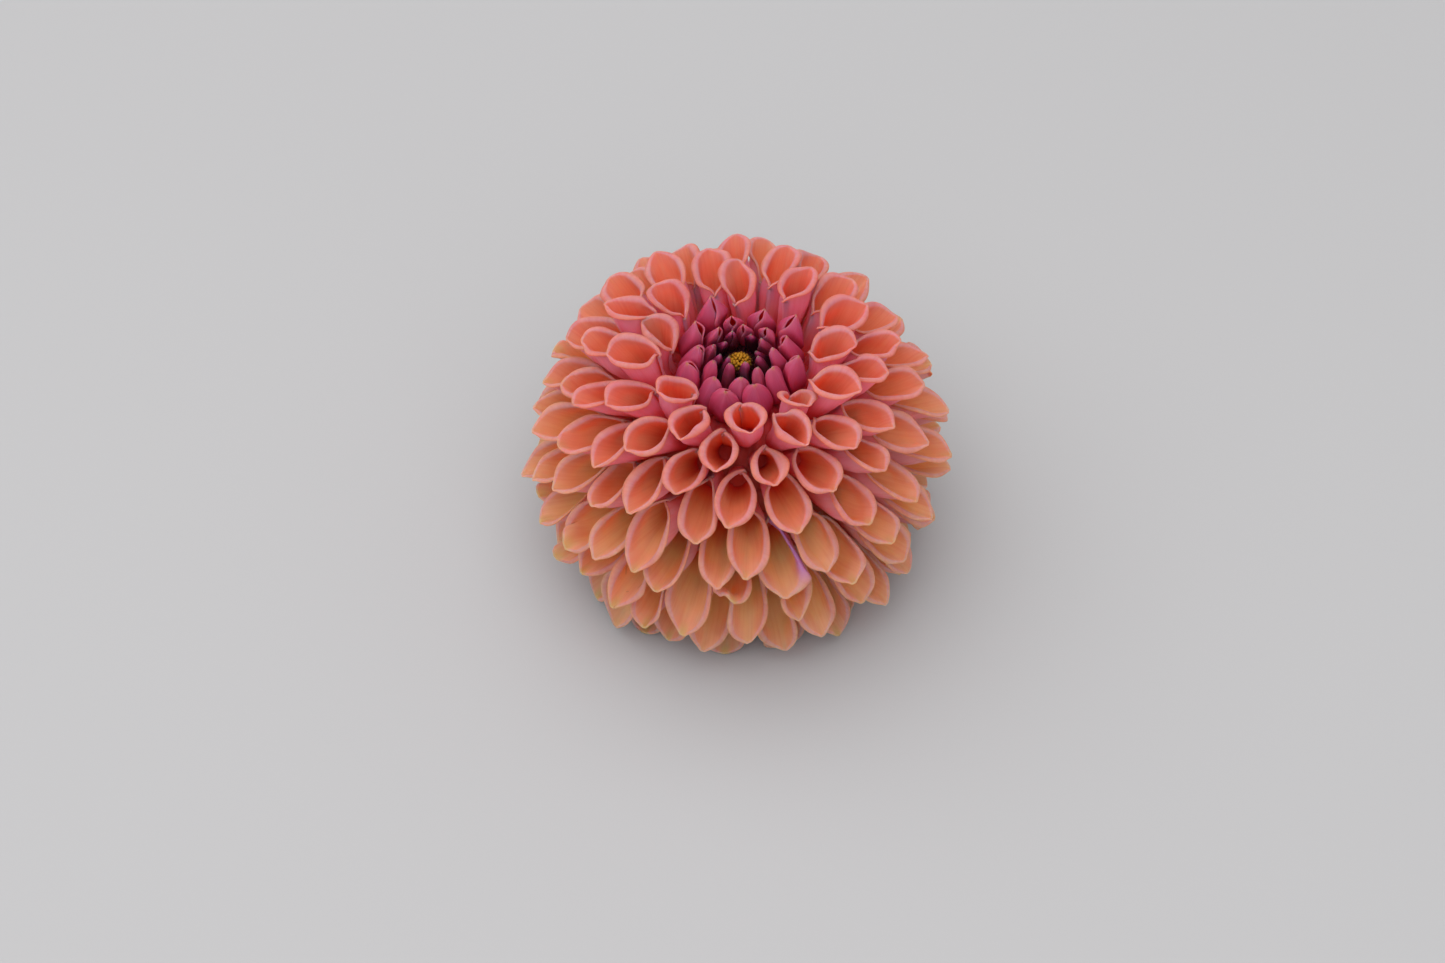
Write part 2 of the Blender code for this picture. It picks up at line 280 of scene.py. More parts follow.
# Colours along an open petal, from its root to its lip, and round its lip.
OUTSIDE_YOUNG = (
    (0.1, (0.72, 0.03, 0.04)), (0.5, (0.76, 0.15, 0.19)),
    (0.8, (0.69, 0.20, 0.30)), (1.0, (0.65, 0.24, 0.33)),
)
OUTSIDE_OLD = (
    (0.1, (0.78, 0.12, 0.09)), (0.5, (0.76, 0.29, 0.24)),
    (0.85, (0.69, 0.34, 0.33)), (1.0, (0.64, 0.33, 0.32)),
)
INSIDE_YOUNG = (
    (0.1, (0.80, 0.03, 0.04)), (0.35, (0.98, 0.13, 0.06)), (0.6, (0.97, 0.18, 0.10)),
    (0.9, (0.86, 0.20, 0.13)), (1.0, (0.74, 0.19, 0.15)),
)
INSIDE_OLD = (
    (0.1, (0.86, 0.08, 0.05)), (0.3, (0.98, 0.25, 0.08)), (0.5, (0.98, 0.41, 0.16)),
    (0.8, (0.90, 0.40, 0.20)), (1.0, (0.76, 0.33, 0.21)),
)
RIM_YOUNG = (
    (0.0, (0.64, 0.22, 0.27)), (0.4, (0.62, 0.23, 0.25)),
    (0.7, (0.70, 0.21, 0.19)), (1.0, (0.80, 0.15, 0.10)),
)
RIM_OLD = (
    (0.0, (0.62, 0.29, 0.28)), (0.4, (0.62, 0.30, 0.27)),
    (0.7, (0.69, 0.30, 0.23)), (1.0, (0.80, 0.30, 0.16)),
)
LILAC = (0.52, 0.22, 0.50)

# Colours along a bud. Its inside is painted shade, darker than its outside. The deep ones are painted shade
# for the inmost, which little light reaches.
BUD_OUTSIDE = (
    (0.15, (0.12, 0.001, 0.01)), (0.5, (0.40, 0.012, 0.045)), (0.8, (0.58, 0.06, 0.14)),
    (0.95, (0.60, 0.10, 0.19)), (1.0, (0.64, 0.24, 0.12)),
)
BUD_INSIDE_SHADED = ((0.2, (0.20, 0.004, 0.02)), (1.0, (0.48, 0.03, 0.07)))
BUD_PAINTED_SHADE = (
    (0.75, (0.02, 0.0, 0.004)), (0.88, (0.14, 0.005, 0.04)), (0.95, (0.38, 0.06, 0.17)),
    (0.98, (0.48, 0.16, 0.18)), (1.0, (0.66, 0.46, 0.26)),
)
BUD_MARGIN = (0.60, 0.14, 0.22)

# What tints a petal, what covers its dry tips and spots, and the streaks that these follow.
VEIN_TINT = (0.93, 0.70, 0.70)
PATCH_TINT = (0.96, 0.78, 0.86)
TONE_TINT = (1.0, 0.80, 0.92)
DRY = (0.46, 0.33, 0.12)
SPOT = (0.22, 0.05, 0.02)
VEINS = {"across": 1.8, "along": 1.3, "apart": 60, "detail": 4}
PATCHES = {"across": 0.25, "along": 2.0, "apart": 90, "detail": 2}
SPOTS = {"across": 0.9, "along": 18, "apart": 50, "detail": 0}

# Colours of the claws from the eye to the underside, of the grains, and of the green parts. Near the eye the
# claws' colours are painted shade.
CLAW_COLOURS_AND_SHADE = (
    (0.10, (0.02, 0.0, 0.003)), (0.19, (0.25, 0.004, 0.02)), (0.26, (0.90, 0.035, 0.04)),
    (0.6, (0.95, 0.09, 0.05)), (1.0, (0.72, 0.30, 0.12)),
)
CLAW_TINT = (0.85, 0.75, 0.75)
# Painted shade: the grains darken to near black towards their feet and on the mound under them.
GRAIN_COLOURS_AND_SHADE = ((0.3, (0.03, 0.004, 0.001)), (0.6, (0.20, 0.07, 0.003)), (1.0, (0.48, 0.22, 0.012)))
GRAIN_TINT = (0.85, 0.70, 0.35)
# Painted shade at the mound's edge, where it falls away.
DISC_EDGE_SHADE = (0.03, 0.001, 0.003)
FLESH_GREENS = ((0.30, 0.36, 0.12), (0.42, 0.46, 0.20))
BRACT_GREENS = ((0.13, 0.21, 0.05), (0.30, 0.36, 0.12))
BRACT_MARGIN = (0.42, 0.34, 0.16)
STEM_GREENS = ((0.16, 0.24, 0.06), (0.42, 0.45, 0.20))
CUT_COLOURS = ((0.3, (0.62, 0.62, 0.40)), (0.7, (0.50, 0.55, 0.28)), (0.9, (0.30, 0.36, 0.12)))

# How rough each surface is, how much light passes into it, and how far, red light farthest.
PETAL_SURFACE = {"roughness": 0.58, "glow": 0.9, "glow_reach": 0.003}
CLAW_SURFACE = {"roughness": 0.6, "glow": 0.9, "glow_reach": 0.003}
GRAIN_SURFACE = {"roughness": 0.55, "glow": 0.2, "glow_reach": 0.0005}
GREEN_SURFACE = {"roughness": 0.55, "glow": 0.2, "glow_reach": 0.001}
SHINE = 0.2
GLOW_RADII = (1.0, 0.35, 0.2)

# The places of the colour sockets in a mix node.
MIX_LOW = 6
MIX_HIGH = 7
MIX_RESULT = 2

# The studio: a pale floor, a large soft light from behind and above, and a weak fill.
FLOOR_HALF = 3.0
FLOOR_COLOUR = (0.46, 0.46, 0.47)
FLOOR_ROUGHNESS = 0.8
WORLD_COLOUR = (1.0, 0.98, 0.97)
WORLD_STRENGTH = 0.54
LAMPS = (
    {"name": "key", "place": (-0.40, 0.05, 1.25), "size": 2.2, "power": 17},
    {"name": "fill", "place": (0.1, -0.75, 1.1), "size": 1.4, "power": 6},
)

# The camera of the photograph, round the middle of the head.
ELEVATION = math.radians(50.5)
DISTANCE = 0.749
LENS = 85
FRAME_WIDTH = 1445
FRAME_HEIGHT = 963
HEAD_PIXEL = (739, 445)


def smooth(x):
    """A soft step from 0 to 1."""
    x = np.clip(x, 0, 1)
    return x * x * (3 - 2 * x)


def soft_step(x, limits):
    """A soft step from 0 to 1, as x goes from the first limit to the second."""
    return smooth((x - limits[0]) / (limits[1] - limits[0]))


def bell(x, width):
    """1 where x is 0, falling to nothing on both sides."""
    return np.exp(-((x / width) ** 2))


def mix(pair, share):
    return pair[0] + (pair[1] - pair[0]) * share


def unit(vectors):
    return vectors / np.maximum(np.linalg.norm(vectors, axis=-1, keepdims=True), 1e-9)


def direction(polar, azimuth):
    polar, azimuth = np.broadcast_arrays(polar, azimuth)
    level = np.sin(polar)
    return np.stack((level * np.cos(azimuth), level * np.sin(azimuth), np.cos(polar)), -1)


def floret_area(polar):
    crown = 1 - CROWN_SHARE * math.exp(-((polar / CROWN_WIDTH) ** 2))
    eye = 1 - EYE_SHARE * math.exp(-((polar / EYE_WIDTH) ** 4))
    return FLORET_AREA * crown * eye


def tip_radius(polar):
    return BLOOM_RADIUS * (1 - EYE_DIP * math.exp(-((polar / EYE_DIP_WIDTH) ** 4)))


def zone_of(polar):
    return next(zone for zone, (_, end) in ZONES.items() if polar < end)


def florets():
    """Every ray floret, in the same order and with the same draws as in the solids."""
    draw = random.Random(SEED)
    claw_margin = (CLAW_RADIUS + 3 * GAP) / CORE_RADIUS
    found = []
    polar = FIRST_POLAR
    while polar < LAST_POLAR:
        zone = zone_of(polar)
        start, end = ZONES[zone]
        tip_polar = polar * (1 - LEAN * math.exp(-((polar / LEAN_WIDTH) ** 4)))
        nudge = draw.gauss(0, AZIMUTH_SPREAD) * math.sqrt(floret_area(polar)) / BLOOM_RADIUS
        floret = {
            "zone": zone,
            "polar": polar,
            "claw_polar": min(max(polar, start + claw_margin), end - claw_margin),
            "tip_polar": tip_polar,
            "azimuth": FIRST_TURN + len(found) * TURN + nudge / math.sin(polar),
            "tip": tip_radius(tip_polar) + draw.uniform(-TIP_SHORTER, TIP_LONGER),
            "width": draw.uniform(*WIDTH_RANGE),
            "twist": draw.gauss(0, TWIST_SPREAD),
            "slant": draw.gauss(0, SLANT_SPREAD),
        }
        found.append(floret)
        step = floret_area(polar) / (2 * math.pi * BLOOM_RADIUS**2 * math.sin(polar))
        if zone_of(polar + step) != zone:
            step += ZONE_GAP
        polar += step
    places = direction([f["polar"] for f in found], [f["azimuth"] for f in found])
    gaps = np.linalg.norm(places[:, None] - places[None], axis=-1)
    for index, floret in enumerate(found):
        order = np.argsort(gaps[index], kind="stable")
        floret["index"] = index
        floret["spacing"] = BLOOM_RADIUS * gaps[index, order[1:NEAREST + 1]].mean()
        floret["near"] = [found[k] for k in order[1:NEIGHBOURS + 1]]
    return found


class Growth:
    """Places points of a floret: reach from the head's centre, across, and down from the eye."""

    def __init__(self, floret):
        self.claw_polar = floret["claw_polar"]
        self.tip_polar = floret["tip_polar"]
        self.azimuth = floret["azimuth"]
        self.tip = floret["tip"]
        self.age = float(smooth((floret["polar"] - YOUNG_END) / (OLD_START - YOUNG_END)))
        out = direction(floret["polar"], self.azimuth)
        rise = direction(floret["polar"] - math.pi / 2, self.azimuth)
        side = np.cross(out, rise)
        turn = floret["twist"]
        self.rise = rise * math.cos(turn) + side * math.sin(turn)
        self.side = side * math.cos(turn) - rise * math.sin(turn)
        if floret["zone"] == "inner":
            self.measure_bud(floret)
        else:
            self.measure_cup(floret)
        self.mouth = self.tip - self.slope

    def measure_bud(self, floret):
        """A bud's half width. It has no mouth to speak of."""
        self.half_width = BUD_SHARE * floret["spacing"] * floret["width"] / 2
        self.slope = BUD_MOUTH_SLOPE
        self.depth = 0.0
        self.free = 0.0

    def measure_cup(self, floret):
        """A cup's half width, and its slanted mouth: how far that reaches out and down."""
        self.half_width = MOUTH_SHARE * floret["spacing"] * floret["width"] / 2
        slant = mix(SLANT, self.age) + floret["slant"]
        half_mouth = self.half_width * mix(MOUTH_LENGTH, self.age)
        self.slope = half_mouth * math.sin(slant)
        self.depth = half_mouth * math.cos(slant)
        self.free = FREE_MOUTH * (1 - self.age)

    def place(self, reach, across, down):
        reach, across, down = np.broadcast_arrays(reach, across, down)
        bend = smooth((reach - CORE_RADIUS) / (self.tip - CORE_RADIUS))
        polar = self.claw_polar + (self.tip_polar - self.claw_polar) * bend
        axis = CENTRE + direction(polar, self.azimuth) * reach[..., None]
        return axis + self.side * across[..., None] - self.rise * down[..., None]

    def middle(self, reach):
        """The middle of the floret's section this far from the head's centre."""
        cut = np.clip((reach - self.mouth) / self.slope, -1, 1)
        return self.place(reach, 0.0, self.depth * (1 + cut) / 2)


def squeezed(points, growth, near):
    """Flattens a blade where it would pass into its neighbours."""
    reach = np.linalg.norm(points - CENTRE, axis=-1)
    own = growth.middle(reach)
    free = growth.free * smooth((reach - growth.mouth + FREE_BELOW_MOUTH) / FREE_SPAN)
    for other in (Growth(floret) for floret in near):
        theirs = other.middle(reach)
        apart = np.linalg.norm(theirs - own, axis=-1)
        way = unit(theirs - own)
        share = growth.half_width / (growth.half_width + other.half_width)
        excess = ((points - own) * way).sum(-1) - apart * share + TOUCH
        push = (excess + np.sqrt(excess**2 + SOFTNESS**2)) / 2
        above = smooth((reach - CORE_RADIUS) / PRESS_ABOVE_CORE)
        below = smooth((other.tip - reach) / PRESS_BELOW_TIP)
        points = points - way * (push * above * below * (1 - free))[..., None]
    return points


def marked(points, labels, **values):
    """A grid with its marks: each a number, a row, a column or a grid. Those not given are 0."""
    marks = [np.broadcast_to(values.get(label, 0.0), points.shape[:2]) for label in labels]
    return points, np.stack(marks, -1)


def reversed_grid(points, marks):
    """The same grid with its other side out."""
    return points[::-1], marks[::-1]


def cup_draws(floret, age):
    """The seeded differences of an open floret."""
    draw = random.Random(floret["index"])
    return {
        "closing": draw.uniform(*CLOSING_RANGE),
        "tilt": draw.gauss(TILT_MEAN, TILT_SPREAD),
        "fold_side": draw.choice((-1, 1)),
        "folded": draw.random() < FOLDED,
        "cusp": draw.uniform(*CUSP_RANGE),
        "skew": draw.gauss(0, SKEW_SPREAD),
        "wave": draw.uniform(0, math.tau),
        "sway": draw.gauss(0, SWAY_SPREAD),
        "wilt": age * (draw.random() < WILTED),
        "curl": draw.gauss(0, mix(CURL_SPREAD, age)),
        "droop": draw.gauss(0, mix(DROOP_SPREAD, age)),
        "lip_wave": draw.uniform(0, 6),
        "tone": draw.random(),
    }


def hem(along):
    """0 up to where the petal's free end starts, and 1 at its mouth."""
    return smooth((along - HEM_START) / (1 - HEM_START))


def cusp_line(around):
    """1 along the middle of a cup's outer side, falling away to both sides."""
    return np.exp(-np.abs(around) / CUSP_WIDTH)


def fold(around, drawn):
    """How far one side of a folded cup leans in."""
    return FOLD_DEPTH * smooth(np.sin(around) * drawn["fold_side"]) * drawn["folded"]


def spiral(around, flare, start):
    """Draws one margin out and the other in, so that they overlap."""
    return 1 + flare * np.sign(around) * smooth((np.abs(around) - start) / (math.pi - start))


def cup_size(along, around, age, drawn):
    """The size of a cup's section, against a cone from the head's centre."""
    size = TUBE_SIZE + (1 - TUBE_SIZE) * np.sin(math.pi / 2 * along) + SWELL * np.sin(math.pi * along)
    closing = mix(CLOSING, age) + drawn["closing"]
    closing_there = CLOSING_ALL_ROUND + (1 - CLOSING_ALL_ROUND) * np.sin(around) ** 2
    size = size * (1 - closing * closing_there * hem(along))
    size = size * (1 + drawn["tilt"] * np.cos(around) * hem(along))
    size = size * (1 - fold(around, drawn) * along**3)
    flare = SPIRAL * np.where(around > 0, 1 - RIM_CALM * along**3, 1)
    return size * spiral(around, flare, SPIRAL_START) * FULLER


def cup_outline(along, around, age, drawn):
    """Where each point of a section lies: from 1 outside to -1 inside, or past it at cusp and notch."""
    down = np.sign(np.cos(around)) * np.abs(np.cos(around)) ** BLUNTNESS
    cusp = mix(CUSP, age) * drawn["cusp"] * cusp_line(around)
    notch = mix(NOTCH, age) * cusp_line(math.pi - np.abs(around))
    return down + (cusp - notch) * along**CUSP_GROWTH


def cup_reach(growth, along, around, outline, drawn):
    """How far each point of a cup is from the head's centre."""
    slope = growth.slope * along**MOUTH_GROWTH * outline
    skew = drawn["skew"] * np.sin(around) * along**2
    wave = RIM_WAVE * np.sin(3 * around + drawn["wave"]) * along**4
    tuck = TUCK * smooth((np.abs(around) - TUCK_START) / (math.pi + OVERLAP - TUCK_START))
    return ROOT + (growth.mouth - ROOT) * along + slope + skew + wave - tuck * along**2


def cup_down(growth, along, around, section, drawn):
    """How far down from the eye each point of a cup is: its section, belly, crease, droop, wilt and curl."""
    down = growth.depth * (section + BELLY * np.sin(math.pi * along))
    down = down + CREASE * bell(around, CREASE_WIDTH) * smooth(along / CREASE_GROWN)
    down = down + drawn["droop"] * along**3
    wilt = drawn["wilt"] * (WILT_DEPTH * bell(around, WILT_WIDTH) + WILT_CRUMPLE * np.sin(4 * around))
    curl = drawn["curl"] * bell(around, CURL_WIDTH)
    return down - growth.depth * (wilt + curl) * hem(along)


def lip_radius(floret, around, age, drawn):
    """The radius of a cup's rolled margin at each of its columns."""
    radius = LIP_LEAST + LIP_AT_SIDES * np.sin(around) ** 2 + LIP_AT_FOLDS * fold(around, drawn)
    radius = radius * (1 - LIP_LESS_AT_CUSP * cusp_line(around))
    radius = radius * (1 - np.exp((np.abs(around) - around[-1]) / LIP_SEAM_WIDTH))
    radius = radius * (1 + LIP_WAVE * np.sin(2 * around + drawn["lip_wave"]))
    if floret["index"] == LILAC_FLORET:
        radius = radius * (1 + LILAC_WIDER * smooth(-around / LILAC_WIDER_SPAN))
    return radius * mix(LIP_RADIUS, age)


def with_lip(points, radius, turn):
    """Rolls the margin of a blade inwards: more rows past its last, round a small circle."""
    ahead = unit(points[-1] - points[-2])
    inward = unit(np.cross(ahead, np.gradient(points[-1], axis=0)))
    angles = [turn * k / LIP_ROWS for k in range(1, LIP_ROWS + 1)]
    forward = [(radius * np.sin(angle))[:, None] for angle in angles]
    inside = [(radius * (1 - np.cos(angle)))[:, None] for angle in angles]
    rolled = [points[-1] + ahead * f + inward * i for f, i in zip(forward, inside)]
    return np.concatenate((points, rolled))


def lilac_marks(along, across):
    """Where the lilac margin is: on one side, near the mouth."""
    margin = soft_step(-across / across.max(), LILAC_ACROSS)
    return margin * soft_step(along, LILAC_ALONG)


def cup(floret):
    """An open floret as a grid of points, from its root to its rolled margin."""
    growth = Growth(floret)
    age = growth.age
    drawn = cup_draws(floret, age)
    along = np.linspace(0, 1, CUP_ROWS)[:, None] ** MOUTH_CROWDING
    around = np.linspace(-1, 1, CUP_COLUMNS) * (math.pi + OVERLAP)
    outline = cup_outline(along, around, age, drawn)
    reach = cup_reach(growth, along, around, outline, drawn)
    cone = reach / growth.mouth * cup_size(along, around, age, drawn)
    across = growth.half_width * np.sin(around) * cone + drawn["sway"] * along**2
    down = cup_down(growth, along, around, outline * cone, drawn)
    points = growth.place(reach, across, down)
    turn = mix(LIP_TURN, age) * (1 - TURN_LESS_AT_CUSP * cusp_line(around))
    points = with_lip(points, lip_radius(floret, around, age, drawn), turn)
    points = squeezed(points, growth, floret["near"])
    lip = np.linspace(0, 1, LIP_ROWS + 1)[1:]
    values = {
        "along": np.concatenate((along, np.ones((LIP_ROWS, 1)))),
        "lip": np.concatenate((np.zeros(CUP_ROWS), lip))[:, None],
        "across": 1000 * around * growth.half_width,
        "age": age,
        "tone": max(drawn["tone"], WILTED_TONE * drawn["wilt"]),
        "polar": floret["polar"] / LAST_POLAR,
    }
    if floret["index"] == LILAC_FLORET:
        values["lilac"] = lilac_marks(values["along"], around)
    return marked(points, PETAL_MARKS, **values)


def bud_size(outer, inmost, polar):
    """The size of a bud's section: full in the middle, with a narrow foot and a pointed tip."""
    swell = BUD_FOOT + (1 - BUD_FOOT) * np.sin(math.pi / 2 * np.minimum(outer / BUD_FULL_AT, 1))
    beyond = np.clip((outer - BUD_TAPER_FROM) / (1 - BUD_TAPER_FROM), 0, 1)
    taper = (1 - beyond ** BUD_TAPER_POWERS[0]) ** BUD_TAPER_POWERS[1]
    fuller = FULLER + BUDS_FULLER * (polar > BUDS_FULL_FROM) - INMOST_THINNER * inmost
    return swell * (BUD_TIP + (1 - BUD_TIP) * taper) * fuller


def bud(floret):
    """A floret near the eye that is still rolled up: a hood that opens a little to the eye."""
    growth = Growth(floret)
    draw = random.Random(floret["index"])
    along = np.sin(np.linspace(0, math.pi / 2, BUD_ROWS))[:, None]
    inmost = 1 - smooth((floret["polar"] - INMOST) / INMOST_SPAN)
    tip = growth.tip - INMOST_SHORTER * inmost
    reach = ROOT + (tip - ROOT) * along
    outer = np.clip((reach - CORE_RADIUS) / (tip - CORE_RADIUS), 0, 1)
    opening = HOOD_OPENING * draw.uniform(*HOOD_RANGE) * (1 - INMOST_CLOSED * inmost)
    margin = math.pi + OVERLAP - opening * smooth((outer - HOOD_FROM) / HOOD_SPAN)
    around = np.linspace(-1, 1, BUD_COLUMNS) * margin
    wide = growth.half_width * bud_size(outer, inmost, floret["polar"])
    wide = wide * spiral(around, BUD_SPIRAL, BUD_SPIRAL_START)
    sway = draw.gauss(0, BUD_SWAY_SPREAD) * along**3
    keel = bell(around, BUD_KEEL_WIDTH) + BUD_RIDGE * np.cos(BUD_RIDGES * around)
    flatter = np.where(np.cos(around) < 0, *BUD_FLATTER)
    down = wide * (flatter * np.cos(around) + BUD_KEEL * keel)
    points = growth.place(reach, wide * np.sin(around) + sway, down)
    points = squeezed(points, growth, floret["near"])
    near_margin = np.exp((np.abs(around) - margin) / BUD_MARGIN_WIDTH)
    values = {
        "along": along,
        "lip": near_margin * smooth((outer - BUD_MARGIN_FROM) / BUD_MARGIN_SPAN),
        "across": 1000 * around[-1] * growth.half_width,
        "tone": draw.random(),
        "polar": floret["polar"] / LAST_POLAR,
    }
    return marked(points, PETAL_MARKS, **values)


def claws(start, end):
    """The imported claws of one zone: a ribbed band of the core."""
    polar = np.linspace(start - CLAW_MARGIN, end + CLAW_MARGIN, CLAW_ROWS)[:, None]
    azimuth = np.linspace(0, math.tau, CLAW_COLUMNS)
    dip = CLAW_EDGE_DIP * np.abs(np.linspace(-1, 1, CLAW_ROWS)[:, None]) ** CLAW_EDGE_POWER
    ribs = CLAW_RIB * np.sin(CLAW_RIBS * azimuth + CLAW_RIB_SLANT * polar)
    radius = CORE_RADIUS * (1 - dip + ribs)
    points = CENTRE + direction(polar, azimuth) * radius[..., None]
    return reversed_grid(*marked(points, PETAL_MARKS, polar=polar / LAST_POLAR))


def underside(end):
    """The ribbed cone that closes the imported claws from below."""
    reach = np.linspace(CORE_RADIUS, CORE_INSIDE, UNDERSIDE_ROWS)[:, None]
    azimuth = np.linspace(0, math.tau, CLAW_COLUMNS)
    polar = end + CLAW_RIB * np.sin(CLAW_RIBS * azimuth)
    points = CENTRE + direction(polar, azimuth) * reach[..., None]
    return reversed_grid(*marked(points, PETAL_MARKS, polar=1))


def rounds(profile, columns=48):
    """A grid turned round the upright axis, from (radius, height) points."""
    profile = np.array(profile)[:, None]
    azimuth = np.linspace(0, math.tau, columns + 1)[None, :]
    radius = profile[..., 0]
    points = radius * np.cos(azimuth), radius * np.sin(azimuth), profile[..., 1] + 0 * azimuth
    return np.stack(points, -1)


def arc(radii, polar):
    """A profile's (radius, height) points this far from the head's centre, at these angles."""
    return [(r * math.sin(a), CENTRE_HEIGHT + r * math.cos(a)) for r, a in zip(radii, polar)]


def grain(index):
    """An unopened disc floret: a small ovoid, lobed in its upper half."""
    draw = random.Random(index)
    polar = GRAINS_WITHIN * EYE_HALF_ANGLE * math.sqrt((index + 0.5) / GRAINS)
    out = direction(polar, index * TURN)
    side = unit(np.cross(out, (0, 0, 1.0))) if index else np.array((1.0, 0, 0))
    up = np.cross(out, side)
    edge = (polar / EYE_HALF_ANGLE) ** 2
    reach = DISC_RADIUS + GRAIN_RISE - MOUND_DROP * edge + draw.gauss(0, GRAIN_REACH_SPREAD)
    turn = np.linspace(0, GRAIN_TURN, GRAIN_ROWS)[:, None]
    around = np.linspace(0, math.tau, GRAIN_COLUMNS)
    radius = GRAIN_RADIUS * draw.uniform(*GRAIN_RADIUS_RANGE) * np.sin(turn) ** GRAIN_BLUNTNESS
    radius = radius * (1 + GRAIN_LOBE * np.cos(GRAIN_LOBES * around) * (turn < math.pi / 2))
    height = GRAIN_LENGTH / 2 * np.cos(turn) + 0 * around
    points = CENTRE + out * (reach + height)[..., None]
    points = points + side * (radius * np.cos(around))[..., None]
    points = points + up * (radius * np.sin(around))[..., None]
    return marked(points, GRAIN_MARKS, height=np.cos(turn), tone=draw.random(), edge=edge)


def disc():
    """The eye: its mound, and the grains that stand on it."""
    polar = np.linspace(0, EYE_HALF_ANGLE - 2 * GAP / CORE_RADIUS, MOUND_ROWS)
    reach = DISC_RADIUS - MOUND_LOWER - MOUND_DROP * (polar / EYE_HALF_ANGLE) ** 2
    profile = arc(reach, polar)
    foot = CENTRE_HEIGHT + CORE_INSIDE
    profile += [(profile[-1][0], foot), (0, foot)]
    # The mound takes the darkest grain colour, as painted shade between the grains.
    mound = marked(rounds(profile, MOUND_COLUMNS), GRAIN_MARKS, height=-1, tone=PLAIN_TONE, edge=1)
    shapes = [mound] + [grain(index) for index in range(GRAINS)]
    piece = grids_piece("disc_grains", shapes, GRAIN_MARKS, [grain_material()])
    dress(piece, "disc_florets")


def receptacle():
    """The fleshy dome inside, with its neck."""
    polar = np.linspace(0, DOME_END, DOME_ROWS)
    profile = arc([CORE_INSIDE - 2 * GAP] * DOME_ROWS, polar)
    profile += [(NECK_RADIUS, NECK_TOP), (STEM_RADIUS, NECK_BASE), (0, NECK_BASE)]
    along = np.linspace(0, 1, len(profile))[:, None]
    flesh = marked(rounds(profile), GREEN_MARKS, along=along, tone=PLAIN_TONE)
    piece = grids_piece("receptacle_flesh", [flesh], GREEN_MARKS, [flesh_material()])
    dress(piece, "receptacle")


def bract(row, azimuth, draw):
    """A green scale as a grid of points, from the collar to its tip."""
    along = np.linspace(0, 1, BRACT_GRID[0])[:, None]
    across = np.linspace(-1, 1, BRACT_GRID[1])
    out = direction(math.pi / 2, azimuth)
    side = direction(math.pi / 2, azimuth + math.pi / 2)
    outline = np.sin(math.pi * mix(BRACT_OUTLINE, along)) ** BRACT_BLUNTNESS
    slope = row["slope"] + (row["curl"] + draw.gauss(0, BRACT_CURL_SPREAD)) * along
    reach = row["start"][0] + row["length"] * along * np.cos(slope)
    drop = row["length"] * along * np.sin(slope)
    arch = BRACT_ARCH * row["width"] * (1 - across**2)
    arch = arch + BRACT_MIDRIB * bell(across, BRACT_MIDRIB_WIDTH)
    wave = BRACT_WAVE * np.sin(BRACT_WAVES * along + draw.uniform(0, 6)) * across**2
    wide = row["width"] / 2 * outline * across * draw.uniform(*BRACT_WIDTH_RANGE)
    points = out * (reach + 0 * across)[..., None] + side * wide[..., None]
    points[..., 2] = row["start"][1] - drop + arch + wave
    marks = {"along": along, "across": across, "tone": draw.random()}
    return reversed_grid(*marked(points, GREEN_MARKS, **marks))


def collar():
    """The green ring round the neck that the bracts grow from."""
    profile = [
        (NECK_RADIUS + COLLAR_GAP, NECK_TOP),
        (NECK_RADIUS + COLLAR_WALL, NECK_TOP - COLLAR_WALL),
        (NECK_RADIUS + COLLAR_WALL / 2, NECK_BASE + COLLAR_TAPER * NECK_HEIGHT),
        (STEM_RADIUS + 2 * COLLAR_WALL, NECK_BASE - GAP),
        (STEM_RADIUS + COLLAR_GAP, NECK_BASE),
        (NECK_RADIUS + COLLAR_GAP, NECK_TOP),
    ]
    along = np.linspace(*COLLAR_ALONG, len(profile))[:, None]
    return marked(rounds(profile), GREEN_MARKS, along=along, tone=PLAIN_TONE)


def bracts():
    """The two rows of green scales and their collar."""
    draw = random.Random(SEED)
    scales = []
    for row in BRACT_ROWS:
        for k in range(row["count"]):
            scales.append(bract(row, math.tau * (k + row["offset"]) / row["count"], draw))
    material = bract_material()
    piece = grids_piece("bract_scales", scales, GREEN_MARKS, [material, material])
    thickened(piece, BRACT_WALL)
    dress(piece, "bracts")
    piece = grids_piece("bract_collar", [collar()], GREEN_MARKS, [material])
    dress(piece, "bracts")


def stem():
    """The cut stem: a fluted rod that leans a little, with rings on its cut end."""
    size = np.array((0, *[1] * STEM_ROWS, *CUT_SIZES))
    down = np.array((0, *np.linspace(0, 1, STEM_ROWS), *CUT_PLACES))
    points = rounds([(STEM_RADIUS * s, mix((STEM_TOP, STEM_END), d)) for s, d in zip(size, down)])
    azimuth = np.linspace(0, math.tau, points.shape[1])
    points[..., :2] *= (1 + STEM_FLUTE * np.sin(STEM_FLUTES * azimuth))[:, None]
    points[..., 0] += STEM_LEAN * down[:, None] ** 2
    cut = np.arange(len(size)) > STEM_ROWS
    rod = marked(points, GREEN_MARKS, along=cut[:, None], across=size[:, None], tone=PLAIN_TONE)
    piece = grids_piece("cut_stem", [rod], GREEN_MARKS, [stem_material()])
    dress(piece, "stem_stub")


